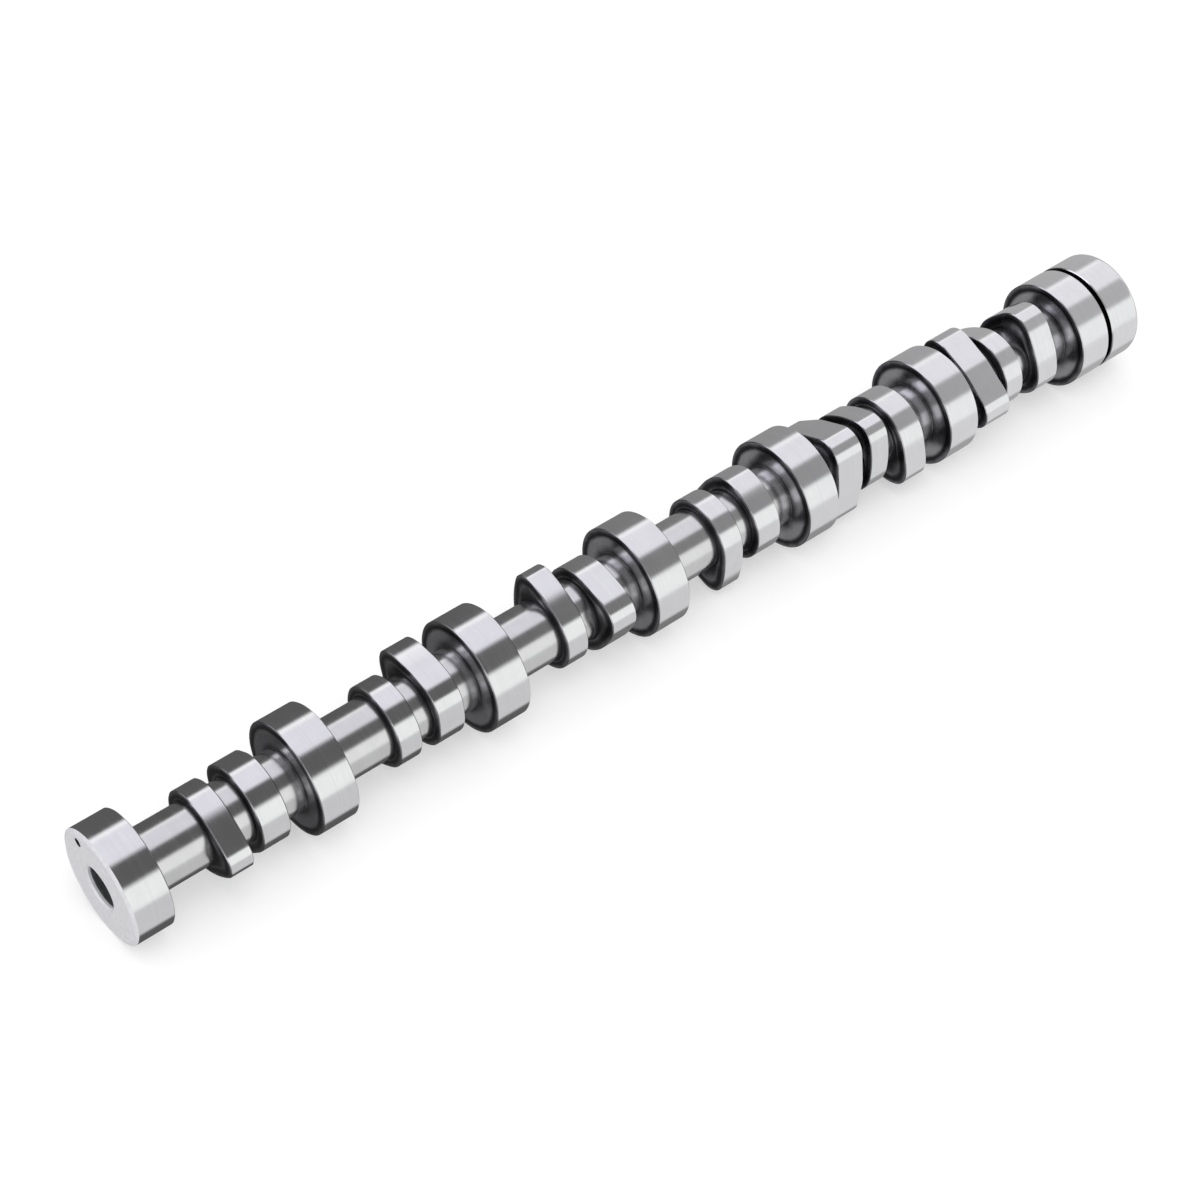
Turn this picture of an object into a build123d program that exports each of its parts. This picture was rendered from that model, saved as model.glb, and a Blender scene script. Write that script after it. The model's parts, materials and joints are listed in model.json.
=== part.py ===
from build123d import *
import math
import os

# Camshaft of a six-cylinder diesel engine, forged in one piece and ground.
# The shaft's axis is +X, its front face lies at x = 0, and +Z is up.
# Lengths are in millimetres and angles in degrees.
# A nose angle is turned about +X from straight up, by the right-hand rule.

# Layout along the shaft. Every cylinder has a journal, then its lobes.
FIRING_ORDER = (1, 5, 3, 6, 2, 4)
CYLINDER_PITCH = 130.0
JOURNAL_RADIUS = 39.0
JOURNAL_WIDTH = 26.0
NECK_RADIUS = 21.25
INLET_FROM_JOURNAL = 39.0
INLET_WIDTH = 16.0
EXHAUST_FROM_INLET = 13.0
EXHAUST_WIDTH = 19.3
PUMP_CYLINDERS = (5, 6)
PUMP_FROM_JOURNAL = 8.9
PUMP_WIDTH = 22.5

# Inlet lobe: a nose arc and two convex flank arcs on a base circle.
INLET_BASE_RADIUS = 28.0
INLET_LIFT = 10.6
INLET_NOSE_RADIUS = 13.3
INLET_FLANK_RADIUS = 78.0
FIRST_INLET_ANGLE = 90.0

# Exhaust lobe: three smooth rises on a base circle. Each rise has a height,
# the angle of its top from the nose, the angle from top to foot, and a
# sharpness, which is higher where the top is more pointed. The outline is
# made of arcs, which meet at these shares of the nose rise's foot.
EXHAUST_BASE_RADIUS = 28.4
EXHAUST_LEAD = 97.4
NOSE_RISE = {"height": 7.7, "top": 0.0, "foot": 65.0, "sharpness": 4.2}
RAMP_RISE = {"height": 2.1, "top": 0.0, "foot": 140.0, "sharpness": 1.5}
SECOND_RISE = {"height": 1.9, "top": 102.0, "foot": 40.0, "sharpness": 2.0}
EXHAUST_NOSE_SHARES = (0.34, 0.65, 1.0)

# Fuel pump lobe: noses with straight flanks on a base circle.
PUMP_BASE_RADIUS = 28.9
PUMP_LIFT = 9.7
PUMP_NOSE_RADIUS = 14.4
PUMP_NOSES = 3
FIRST_PUMP_ANGLE = 30.0

# Rear end: a groove behind the last journal, and an end band with a round rim.
END_GROOVE_WIDTH = 4.0
END_GROOVE_DEPTH = 4.0
END_BAND_WIDTH = 28.0
END_ROUND = 4.0
LATHE_CENTRE_RADIUS = 6.0
LATHE_CENTRE_ANGLE = 60.0

# Front end: a bevelled rim, a pilot bore, a tapped core and a dowel hole. The
# tools that cut these holes leave a small bevel around each floor.
FRONT_BEVEL_LENGTH = 1.4
FRONT_BEVEL_HEIGHT = 3.0
PILOT_RADIUS = 14.0
PILOT_DEPTH = 9.0
PILOT_COUNTERSINK = 1.2
TAPPED_RADIUS = 10.9
TAPPED_DEPTH = 40.0
DOWEL_RADIUS = 3.0
DOWEL_DEPTH = 8.8
DOWEL_CIRCLE_RADIUS = 30.6
DOWEL_ANGLE = 326.7
FLOOR_BEVEL = 0.5

# Edges and corners.
EDGE_BEVEL = 0.6
ROOT_FILLET = 1.0

CYLINDERS = len(FIRING_ORDER)
LAST_JOURNAL_START = CYLINDERS * CYLINDER_PITCH
END_GROOVE_START = LAST_JOURNAL_START + JOURNAL_WIDTH
END_BAND_START = END_GROOVE_START + END_GROOVE_WIDTH
SHAFT_LENGTH = END_BAND_START + END_BAND_WIDTH


def turned(*corners):
    """A solid turned about the shaft's axis, from (x, radius) corners."""
    return revolve(make_face(Polyline(*corners, close=True)), Axis.X)


def disc(start, width, radius):
    """A round band with a small bevel at both rims."""
    end = start + width
    return turned(
        (start, 0),
        (start, radius - EDGE_BEVEL),
        (start + EDGE_BEVEL, radius),
        (end - EDGE_BEVEL, radius),
        (end, radius - EDGE_BEVEL),
        (end, 0),
    )


def polar(radius, angle):
    """A point of a lobe's outline, its angle turned from the top."""
    turn = math.radians(angle)
    return (-radius * math.sin(turn), radius * math.cos(turn))


def inlet_outline():
    """Four arcs: the nose, a flank each side of it, and the base."""
    nose_distance = INLET_BASE_RADIUS + INLET_LIFT - INLET_NOSE_RADIUS
    base_reach = INLET_FLANK_RADIUS - INLET_BASE_RADIUS
    nose_reach = INLET_FLANK_RADIUS - INLET_NOSE_RADIUS
    flank_y = (base_reach**2 - nose_reach**2 + nose_distance**2) / (2 * nose_distance)
    flank_x = math.sqrt(base_reach**2 - flank_y**2)
    to_nose = math.atan2(nose_distance - flank_y, flank_x)
    to_base = math.atan2(-flank_y, flank_x)
    half_way = (to_nose + to_base) / 2

    def on_flank(turn, side):
        x = INLET_FLANK_RADIUS * math.cos(turn) - flank_x
        y = INLET_FLANK_RADIUS * math.sin(turn) + flank_y
        return (side * x, y)

    nose_top = (0, INLET_BASE_RADIUS + INLET_LIFT)
    base_bottom = (0, -INLET_BASE_RADIUS)
    nose = ThreePointArc(on_flank(to_nose, -1), nose_top, on_flank(to_nose, 1))
    flanks = [
        ThreePointArc(on_flank(to_nose, side), on_flank(half_way, side), on_flank(to_base, side))
        for side in (-1, 1)
    ]
    base = ThreePointArc(on_flank(to_base, -1), base_bottom, on_flank(to_base, 1))
    return make_face([nose, *flanks, base])


def rise_height(rise, angle):
    """Height of one rise of the exhaust lobe at an angle from its nose."""
    from_top = (angle - rise["top"] + 180) % 360 - 180
    if abs(from_top) >= rise["foot"]:
        return 0.0
    share = math.cos(math.radians(90 * from_top / rise["foot"]))
    return rise["height"] * share ** rise["sharpness"]


def exhaust_point(angle):
    """The point of the exhaust lobe's outline at an angle from its nose."""
    rises = (NOSE_RISE, RAMP_RISE, SECOND_RISE)
    lift = sum(rise_height(rise, angle) for rise in rises)
    return Vector(*polar(EXHAUST_BASE_RADIUS + lift, angle))


def exhaust_heading(angle):
    """The direction in which the outline runs on past that point."""
    return (exhaust_point(angle + 0.05) - exhaust_point(angle - 0.05)).normalized()


def exhaust_joints():
    """The angles where the outline's arcs meet, closer where it bends more."""
    nose_angles = [share * NOSE_RISE["foot"] for share in EXHAUST_NOSE_SHARES]
    before_nose = [-angle for angle in reversed(nose_angles)]
    second_top, second_foot = SECOND_RISE["top"], SECOND_RISE["foot"]
    behind_nose = [second_top + share * second_foot for share in (-0.5, 0.0, 0.5, 1.0)]
    ramp_foot = RAMP_RISE["foot"]
    return [-ramp_foot, -0.75 * ramp_foot, *before_nose, 0.0, *nose_angles, *behind_nose]


def arc_pair(first, second):
    """Two arcs from one joint to the next, smooth where they meet each other."""
    start, end = exhaust_point(first), exhaust_point(second)
    start_heading, end_heading = exhaust_heading(first), exhaust_heading(second)
    reach = end - start
    slant = reach.dot(start_heading + end_heading)
    bend = 2 * (1 - start_heading.dot(end_heading))
    arm = (math.sqrt(slant**2 + bend * reach.dot(reach)) - slant) / bend
    middle = (start + end + (start_heading - end_heading) * arm) / 2
    return [
        TangentArc(start, middle, tangent=start_heading),
        TangentArc(end, middle, tangent=end_heading * -1),
    ]


def exhaust_outline():
    """Pairs of arcs over the rises, and one arc around the base circle."""
    joints = exhaust_joints()
    edges = []
    for first, second in zip(joints, joints[1:]):
        edges += arc_pair(first, second)
    base_middle = (joints[0] + joints[-1]) / 2 + 180
    base_points = [exhaust_point(angle) for angle in (joints[-1], base_middle, joints[0])]
    return make_face([*edges, ThreePointArc(*base_points)])


def pump_outline():
    """A nose arc, a straight flank each side and a base arc, all round."""
    nose_distance = PUMP_BASE_RADIUS + PUMP_LIFT - PUMP_NOSE_RADIUS
    normal = math.degrees(math.acos((PUMP_BASE_RADIUS - PUMP_NOSE_RADIUS) / nose_distance))
    nose_pitch = 360 / PUMP_NOSES
    edges = []
    for number in range(PUMP_NOSES):
        angle = number * nose_pitch
        centre = Vector(*polar(nose_distance, angle))
        nose_ends = [
            centre + Vector(*polar(PUMP_NOSE_RADIUS, angle + side * normal)) for side in (-1, 1)
        ]
        flank_feet = [Vector(*polar(PUMP_BASE_RADIUS, angle + side * normal)) for side in (-1, 1)]
        nose_top = polar(PUMP_BASE_RADIUS + PUMP_LIFT, angle)
        base_middle = polar(PUMP_BASE_RADIUS, angle + nose_pitch / 2)
        next_foot = polar(PUMP_BASE_RADIUS, angle + nose_pitch - normal)
        edges.append(Line(flank_feet[0], nose_ends[0]))
        edges.append(ThreePointArc(nose_ends[0], nose_top, nose_ends[1]))
        edges.append(Line(nose_ends[1], flank_feet[1]))
        edges.append(ThreePointArc(flank_feet[1], base_middle, next_foot))
    return make_face(edges)


def lobe(outline, start, width, nose_angle):
    """An outline made as thick as the lobe, with bevelled rims."""
    solid = extrude(Plane.YZ * outline, amount=width)
    rims = solid.edges().filter_by(Plane.YZ)
    return Pos(start, 0, 0) * Rot(nose_angle, 0, 0) * chamfer(rims, EDGE_BEVEL)


def front_journal():
    """The first journal, whose front rim has a broad flat bevel."""
    return turned(
        (0, 0),
        (0, JOURNAL_RADIUS - FRONT_BEVEL_HEIGHT),
        (FRONT_BEVEL_LENGTH, JOURNAL_RADIUS),
        (JOURNAL_WIDTH - EDGE_BEVEL, JOURNAL_RADIUS),
        (JOURNAL_WIDTH, JOURNAL_RADIUS - EDGE_BEVEL),
        (JOURNAL_WIDTH, 0),
    )


def journals():
    """The first journal and one behind each cylinder."""
    plain = [
        disc(number * CYLINDER_PITCH, JOURNAL_WIDTH, JOURNAL_RADIUS)
        for number in range(1, CYLINDERS + 1)
    ]
    return [front_journal(), *plain]


def end_band():
    """The floor of the groove, and the band that closes the shaft."""
    floor_radius = JOURNAL_RADIUS - END_GROOVE_DEPTH
    floor = turned(
        (LAST_JOURNAL_START + EDGE_BEVEL, 0),
        (LAST_JOURNAL_START + EDGE_BEVEL, floor_radius),
        (END_BAND_START + EDGE_BEVEL, floor_radius),
        (END_BAND_START + EDGE_BEVEL, 0),
    )
    band = turned(
        (END_BAND_START, 0),
        (END_BAND_START, JOURNAL_RADIUS - EDGE_BEVEL),
        (END_BAND_START + EDGE_BEVEL, JOURNAL_RADIUS),
        (SHAFT_LENGTH, JOURNAL_RADIUS),
        (SHAFT_LENGTH, 0),
    )
    rear_rim = band.edges().group_by(Axis.X)[-1]
    return [floor, fillet(rear_rim, END_ROUND)]


def cylinder_lobes(cylinder):
    """The valve lobes of one cylinder, and its pump lobe where it has one."""
    journal_end = (cylinder - 1) * CYLINDER_PITCH + JOURNAL_WIDTH
    inlet_start = journal_end + INLET_FROM_JOURNAL
    exhaust_start = inlet_start + INLET_WIDTH + EXHAUST_FROM_INLET
    firing_step = 360 / CYLINDERS
    inlet_angle = FIRST_INLET_ANGLE - FIRING_ORDER.index(cylinder) * firing_step
    lobes = [
        lobe(inlet_outline(), inlet_start, INLET_WIDTH, inlet_angle),
        lobe(exhaust_outline(), exhaust_start, EXHAUST_WIDTH, inlet_angle + EXHAUST_LEAD),
    ]
    if cylinder in PUMP_CYLINDERS:
        pump_angle = FIRST_PUMP_ANGLE - PUMP_CYLINDERS.index(cylinder) * firing_step
        pump_start = journal_end + PUMP_FROM_JOURNAL
        lobes.append(lobe(pump_outline(), pump_start, PUMP_WIDTH, pump_angle))
    return lobes


def front_bore():
    """A countersunk pilot bore with a deeper tapped core, both flat at the bottom."""
    return turned(
        (0, 0),
        (0, PILOT_RADIUS + PILOT_COUNTERSINK),
        (PILOT_COUNTERSINK, PILOT_RADIUS),
        (PILOT_DEPTH - FLOOR_BEVEL, PILOT_RADIUS),
        (PILOT_DEPTH, PILOT_RADIUS - FLOOR_BEVEL),
        (PILOT_DEPTH, TAPPED_RADIUS),
        (TAPPED_DEPTH - FLOOR_BEVEL, TAPPED_RADIUS),
        (TAPPED_DEPTH, TAPPED_RADIUS - FLOOR_BEVEL),
        (TAPPED_DEPTH, 0),
    )


def dowel_hole():
    """A reamed blind hole, whose pin holds the gear at one angle on the shaft."""
    hole = turned(
        (0, 0),
        (0, DOWEL_RADIUS),
        (DOWEL_DEPTH - FLOOR_BEVEL, DOWEL_RADIUS),
        (DOWEL_DEPTH, DOWEL_RADIUS - FLOOR_BEVEL),
        (DOWEL_DEPTH, 0),
    )
    return Rot(DOWEL_ANGLE, 0, 0) * Pos(0, 0, DOWEL_CIRCLE_RADIUS) * hole


def lathe_centre():
    """The cone in the rear face that the shaft is ground between."""
    depth = LATHE_CENTRE_RADIUS / math.tan(math.radians(LATHE_CENTRE_ANGLE / 2))
    return turned((SHAFT_LENGTH, 0), (SHAFT_LENGTH, LATHE_CENTRE_RADIUS), (SHAFT_LENGTH - depth, 0))


def camshaft():
    """The whole shaft as one solid."""
    neck = turned(
        (EDGE_BEVEL, 0),
        (EDGE_BEVEL, NECK_RADIUS),
        (LAST_JOURNAL_START + EDGE_BEVEL, NECK_RADIUS),
        (LAST_JOURNAL_START + EDGE_BEVEL, 0),
    )
    lobes = []
    for cylinder in range(1, CYLINDERS + 1):
        lobes.extend(cylinder_lobes(cylinder))
    shaft = neck + [*journals(), *end_band(), *lobes]
    corners = shaft.edges().filter_by(GeomType.CIRCLE)
    corners = corners.filter_by(lambda edge: math.isclose(edge.radius, NECK_RADIUS, abs_tol=1e-4))
    shaft = fillet(corners, ROOT_FILLET)
    return shaft - [front_bore(), dowel_hole(), lathe_centre()]


os.makedirs("parts", exist_ok=True)
export_step(camshaft(), "parts/camshaft.step")
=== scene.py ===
import json
import math

import bpy
import numpy as np
from mathutils import Matrix, Vector


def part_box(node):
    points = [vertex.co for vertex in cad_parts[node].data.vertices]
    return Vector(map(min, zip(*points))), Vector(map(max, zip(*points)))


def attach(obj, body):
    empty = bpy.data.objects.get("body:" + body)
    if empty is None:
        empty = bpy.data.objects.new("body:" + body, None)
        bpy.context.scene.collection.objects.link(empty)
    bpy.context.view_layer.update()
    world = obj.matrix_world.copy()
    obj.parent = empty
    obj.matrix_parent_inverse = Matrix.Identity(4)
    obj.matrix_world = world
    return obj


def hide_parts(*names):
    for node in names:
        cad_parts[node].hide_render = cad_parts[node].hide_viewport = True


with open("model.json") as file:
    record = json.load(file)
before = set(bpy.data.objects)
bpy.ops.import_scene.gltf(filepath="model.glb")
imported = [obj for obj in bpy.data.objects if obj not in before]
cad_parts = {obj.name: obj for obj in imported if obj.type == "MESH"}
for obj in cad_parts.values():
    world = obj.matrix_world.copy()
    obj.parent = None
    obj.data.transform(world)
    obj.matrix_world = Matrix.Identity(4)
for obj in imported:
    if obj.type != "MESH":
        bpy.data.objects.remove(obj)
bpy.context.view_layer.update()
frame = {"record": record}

MM = 0.001
MOUNTS = {mount["name"]: mount for mount in frame["record"]["mounts"]}


def mount_radius(name):
    return MOUNTS[name]["dims"]["r_mm"] * MM


def mount_length(name):
    return MOUNTS[name]["dims"]["length_mm"] * MM


def mount_place(name):
    return MOUNTS[name]["pos_m"]


def mount_span(name):
    """Where a round mount's wall starts and ends along the shaft."""
    reach = mount_length(name) / 2
    return mount_place(name)[0] - reach, mount_place(name)[0] + reach


# ---------------------------------------------------------------- sizes

# Read from the frame: the journals, the holes and the length of the shaft.
SHAFT_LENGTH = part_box("camshaft")[1].x
JOURNAL_NAMES = sorted(name for name in MOUNTS if name.startswith("journal_"))
JOURNAL_RADIUS = mount_radius("journal_1")
CYLINDERS = len(JOURNAL_NAMES) - 1

# Edges and corners.
EDGE_BEVEL = 0.6 * MM
ROOT_FILLET = 1.0 * MM
FRONT_BEVEL_HEIGHT = 3.0 * MM
END_ROUND = 4.0 * MM
END_GROOVE_DEPTH = 4.0 * MM
LATHE_CENTRE_RADIUS = 6.0 * MM
LATHE_CENTRE_HALF_ANGLE = math.radians(30)
FLOOR_BEVEL = 0.5 * MM
# The pilot's first stretch from its mouth takes the front face's light finish: painted light where light
# falls into the mouth of the hole.
PILOT_LIT_LEAD = 1.6 * MM
THREAD_PITCH = 2.0 * MM
THREAD_DEPTH = 1.1 * MM

# Where each turn of the thread leaves its crest, is deepest and is back at its crest, as
# shares of the pitch.
THREAD_LEAVES = 0.1
THREAD_DEEPEST = 0.5
THREAD_RETURNS = 0.9

# Necks and lobes.
NECK_RADIUS = 21.25 * MM
INLET_FROM_JOURNAL = 39.0 * MM
INLET_WIDTH = 16.0 * MM
EXHAUST_FROM_INLET = 13.0 * MM
EXHAUST_WIDTH = 19.3 * MM
PUMP_FROM_JOURNAL = 8.9 * MM
PUMP_WIDTH = 22.5 * MM
FIRING_ORDER = (1, 5, 3, 6, 2, 4)
PUMP_CYLINDERS = (5, 6)
FIRST_INLET_ANGLE = math.radians(90)
EXHAUST_LEAD = math.radians(97.4)
FIRST_PUMP_ANGLE = math.radians(30)
FIRING_STEP = math.tau / CYLINDERS

INLET = {"base": 28.0 * MM, "lift": 10.6 * MM, "nose": 13.3 * MM, "flank": 78.0 * MM}
PUMP = {"base": 28.9 * MM, "lift": 9.7 * MM, "nose": 14.4 * MM, "noses": 3}
EXHAUST_BASE = 28.4 * MM
EXHAUST_RISES = {
    "Nose Rise": {"height": 7.7 * MM, "top": 0.0, "foot": 65.0, "sharpness": 4.2},
    "Ramp Rise": {"height": 2.1 * MM, "top": 0.0, "foot": 140.0, "sharpness": 1.5},
    "Second Rise": {"height": 1.9 * MM, "top": 102.0, "foot": 40.0, "sharpness": 2.0},
}

# Painted shade: a dark ring painted on each side face, inside its rim, stands in for the dark
# reflection and shade there, and painted shade at the root of each lobe and journal stands in
# for the shade in the corner. A share of it is left where the fillet meets the neck, and it
# fades out along the neck, over no more than a share of the neck's length. Painted shade also
# darkens the bevels at the rims, the lobes' side faces and the groove before the end band.
SHADE_RING_DEPTH = 4.2 * MM
SHADE_RING_EDGE = 3.8 * MM
RIM_SHADE = 0.5
LOBE_FACE_SHADE = 0.6
LOBE_ROOT_SHADE = 1.0
JOURNAL_ROOT_SHADE = 0.75
FILLET_FOOT_SHARE = 0.5
PAINTED_SHADE_LENGTH = 3.0 * MM
PAINTED_SHADE_MOST_OF_NECK = 0.45
# The colour of the painted shade, the cloudiness of its edge and how much rougher it leaves the surface.
PAINTED_SHADE_COLOUR = (0.05, 0.05, 0.055)
PAINTED_SHADE_CLOUDS = 0.5
PAINTED_SHADE_DULLING = 0.15

# Mesh fineness.
SEGMENTS = 168
DOWEL_SEGMENTS = 48
FILLET_STEPS = 4
ROUND_STEPS = 8
SUPPORT = 0.1 * MM
WELD_DISTANCE = 0.001 * MM
CRISP_ANGLE = math.radians(24)

# Kinds of outline that a ring can have, as the shaft's tree numbers them.
ROUND, INLET_LOBE, EXHAUST_LOBE, PUMP_LOBE = range(4)

# Finishes, in the order of the material slots.
FINISHES = ("ground_band", "ground_lobe", "turned_neck", "hardened_side", "front_face", "bore_wall")
GROUND_BAND, GROUND_LOBE, TURNED_NECK, HARDENED_SIDE, FRONT_FACE, SHADED_BORE_WALL = range(len(FINISHES))

# How each finish looks. Lines and rings are counted per metre, along the shaft and out
# from its axis, and depths are shares of the shade.
GROUND_LOOK = {
    "colour": (0.90, 0.90, 0.92),
    "metallic": 1.0,
    "roughness": 0.13,
    "spread": 0.08,
    "lines": 700.0,
    "rings": 0.0,
    "line_depth": 0.12,
    "marks": 0.10,
    "mark_size": 9 * MM,
    "bump": 0.04,
}
LOOKS = {
    "ground_band": GROUND_LOOK,
    "ground_lobe": GROUND_LOOK,
    "turned_neck": {
        "colour": (0.80, 0.80, 0.81),
        "metallic": 1.0,
        "roughness": 0.19,
        "spread": 0.10,
        "lines": 400.0,
        "rings": 0.0,
        "line_depth": 0.12,
        "marks": 0.12,
        "mark_size": 9 * MM,
        "bump": 0.05,
    },
    "hardened_side": {
        "colour": (0.66, 0.65, 0.69),
        "metallic": 1.0,
        "roughness": 0.20,
        "spread": 0.08,
        "lines": 0.0,
        "rings": 500.0,
        "line_depth": 0.10,
        "marks": 0.45,
        "mark_size": 9 * MM,
        "bump": 0.02,
    },
    "front_face": {
        "colour": (0.84, 0.84, 0.87),
        "metallic": 0.30,
        "roughness": 0.50,
        "spread": 0.06,
        "lines": 0.0,
        "rings": 450.0,
        "line_depth": 0.08,
        "marks": 0.36,
        "mark_size": 3 * MM,
        "bump": 0.02,
    },
    # A darker copy of the steel for the walls of the holes: painted shade, standing in for the shade deep
    # in these recesses.
    "bore_wall": {
        "colour": (0.30, 0.30, 0.31),
        "metallic": 0.9,
        "roughness": 0.35,
        "spread": 0.05,
        "lines": 450.0,
        "rings": 0.0,
        "line_depth": 1.2,
        "marks": 1.10,
        "mark_size": 5 * MM,
        "bump": 0.03,
    },
}

# How fast the lines change per metre of height around the shaft, and how deep their bump is.
LINE_CHANGE_AROUND = 12.0
BUMP_DISTANCE = 0.02 * MM

# Light that reflections see: long panels around the shaft, in a dim room. A panel reaches
# from one turn about the shaft to another, in degrees from straight up. Those ahead of the
# shaft and those beside it leave a darker gap between them, and a pale backdrop behind its
# rear end veils them.
ROOM_LEVELS = {"ahead": 0.3, "gap": 0.05, "beside": 0.1}
PANELS = (
    ("ahead", -60, -10, 1.2, "cool"),
    ("ahead", 60, 110, 0.9, "warm"),
    ("gap", -60, -40, 1.0, "plain"),
    ("gap", 90, 130, 0.3, "plain"),
    ("beside", -50, -40, 1.0, "plain"),
    ("beside", -40, 15, 0.8, "cool"),
    ("beside", 60, 105, 0.9, "warm"),
    ("beside", 105, 165, 0.6, "plain"),
)
PANEL_EDGE = 8
TINTS = {"plain": (1.0, 1.0, 1.0), "cool": (0.98, 0.97, 1.03), "warm": (0.99, 1.0, 0.98)}
VEIL_LEVEL = 0.85
VEIL_SHARE = 0.5

# Slants along the shaft, towards its rear, between which the gap gives way to what is ahead,
# what is beside the shaft gives way to the gap, and the veil sets in.
AHEAD_SLANTS = (-0.55, -0.35)
BESIDE_SLANTS = (-0.35, 0.0)
VEIL_SLANTS = (0.4, 0.65)

# The floor, the lamp and the camera.
FLOOR_SHADE = 0.60
FLOOR_GLOW = 0.40
FLOOR_REACH = 4.0
LAMP_SIZE = 1.6
LAMP_POWER = 9.0
LAMP_PLACE = (0.1, -0.7, 1.7)
LAMP_TARGET = (0.42, 0, 0)
CAMERA_LENS = 78.39
CAMERA_SENSOR = 36.0
CAMERA_PLACE = (-0.3773, -0.9073, 1.1825)
CAMERA_TILT = math.radians(44.77)
CAMERA_TURN = math.radians(-39.6)


# ---------------------------------------------------------------- nodes


class NodeMaker:
    """Adds nodes to one tree and links or fills their inputs."""

    def __init__(self, tree):
        self.tree = tree

    def add(self, kind, inputs=None, **settings):
        """A node of this kind, whose inputs are sockets to link or values to set."""
        node = self.tree.nodes.new(kind)
        for name, value in settings.items():
            setattr(node, name, value)
        for key, value in (inputs or {}).items():
            if isinstance(value, bpy.types.NodeSocket):
                self.tree.links.new(value, node.inputs[key])
            else:
                node.inputs[key].default_value = value
        return node

    def math(self, operation, *values):
        """The result of one sum on sockets or numbers."""
        node = self.add("ShaderNodeMath", dict(enumerate(values)), operation=operation)
        return node.outputs[0]

    def attribute(self, name):
        """One of the values that the rings carry."""
        node = self.add("GeometryNodeInputNamedAttribute", {"Name": name}, data_type="FLOAT")
        return node.outputs["Attribute"]

    def choose(self, condition, if_true, if_false):
        inputs = {"Switch": condition, "True": if_true, "False": if_false}
        return self.add("GeometryNodeSwitch", inputs, input_type="FLOAT").outputs[0]

    def group(self, tree, inputs):
        """A node that runs another tree, with its inputs given by name."""
        kind = "GeometryNodeGroup" if tree.type == "GEOMETRY" else "ShaderNodeGroup"
        node = self.add(kind, node_tree=tree)
        for name, value in inputs.items():
            if isinstance(value, bpy.types.NodeSocket):
                self.tree.links.new(value, node.inputs[name])
            else:
                node.inputs[name].default_value = value
        return node


def new_tree(name, kind, inputs, outputs):
    """A node tree with these sockets, and its maker, entry and exit nodes."""
    tree = bpy.data.node_groups.new(name, kind)
    for side, sockets in (("INPUT", inputs), ("OUTPUT", outputs)):
        for socket, socket_type in sockets.items():
            tree.interface.new_socket(socket, in_out=side, socket_type="NodeSocket" + socket_type)
    maker = NodeMaker(tree)
    return tree, maker, maker.add("NodeGroupInput").outputs, maker.add("NodeGroupOutput").inputs


# ---------------------------------------------------------------- outlines of the lobes


def arc_reach_tree():
    """Distance from the shaft's axis to an arc's circle, in one direction."""
    sockets = {"Turn": "Float", "Centre Distance": "Float", "Arc Radius": "Float"}
    tree, make, entry, leave = new_tree("arc_reach", "GeometryNodeTree", sockets, {"Reach": "Float"})
    along = make.math("MULTIPLY", entry["Centre Distance"], make.math("COSINE", entry["Turn"]))
    aside = make.math("MULTIPLY", entry["Centre Distance"], make.math("SINE", entry["Turn"]))
    radius_squared = make.math("POWER", entry["Arc Radius"], 2.0)
    rest = make.math("SUBTRACT", radius_squared, make.math("MULTIPLY", aside, aside))
    tree.links.new(make.math("ADD", along, make.math("SQRT", rest)), leave["Reach"])
    return tree


def inlet_tree(arc_reach):
    """Inlet lobe: a nose arc, a convex flank arc each side and a base circle."""
    names = ("From Nose", "Base", "Nose Distance", "Nose Radius", "Nose End")
    names += ("Flank Distance", "Flank Radius", "Flank Turn", "Flank End")
    sockets = {name: "Float" for name in names}
    tree, make, entry, leave = new_tree("inlet_outline", "GeometryNodeTree", sockets, {"Radius": "Float"})
    turn = make.math("ABSOLUTE", entry["From Nose"])
    nose = make.group(arc_reach, {
        "Turn": turn,
        "Centre Distance": entry["Nose Distance"],
        "Arc Radius": entry["Nose Radius"],
    })
    flank = make.group(arc_reach, {
        "Turn": make.math("ADD", turn, entry["Flank Turn"]),
        "Centre Distance": entry["Flank Distance"],
        "Arc Radius": entry["Flank Radius"],
    })
    on_flank = make.math("LESS_THAN", turn, entry["Flank End"])
    on_nose = make.math("LESS_THAN", turn, entry["Nose End"])
    side = make.choose(on_flank, flank.outputs["Reach"], entry["Base"])
    tree.links.new(make.choose(on_nose, nose.outputs["Reach"], side), leave["Radius"])
    return tree


def inlet_sizes():
    """The inlet tree's inputs, from the lobe's driving sizes."""
    nose_distance = INLET["base"] + INLET["lift"] - INLET["nose"]
    flank_distance = INLET["flank"] - INLET["base"]
    nose_reach = INLET["flank"] - INLET["nose"]
    squares = flank_distance**2 - nose_reach**2 + nose_distance**2
    flank_turn = math.acos(squares / (2 * nose_distance * flank_distance))
    nose_share = INLET["nose"] / nose_reach
    nose_end_x = nose_share * flank_distance * math.sin(flank_turn)
    nose_end_y = nose_distance + nose_share * (nose_distance - flank_distance * math.cos(flank_turn))
    return {
        "Inlet Base": INLET["base"],
        "Inlet Nose Distance": nose_distance,
        "Inlet Nose Radius": INLET["nose"],
        "Inlet Nose End": math.atan2(nose_end_x, nose_end_y),
        "Inlet Flank Distance": flank_distance,
        "Inlet Flank Radius": INLET["flank"],
        "Inlet Flank Turn": flank_turn,
        "Inlet Flank End": math.pi - flank_turn,
    }


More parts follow.
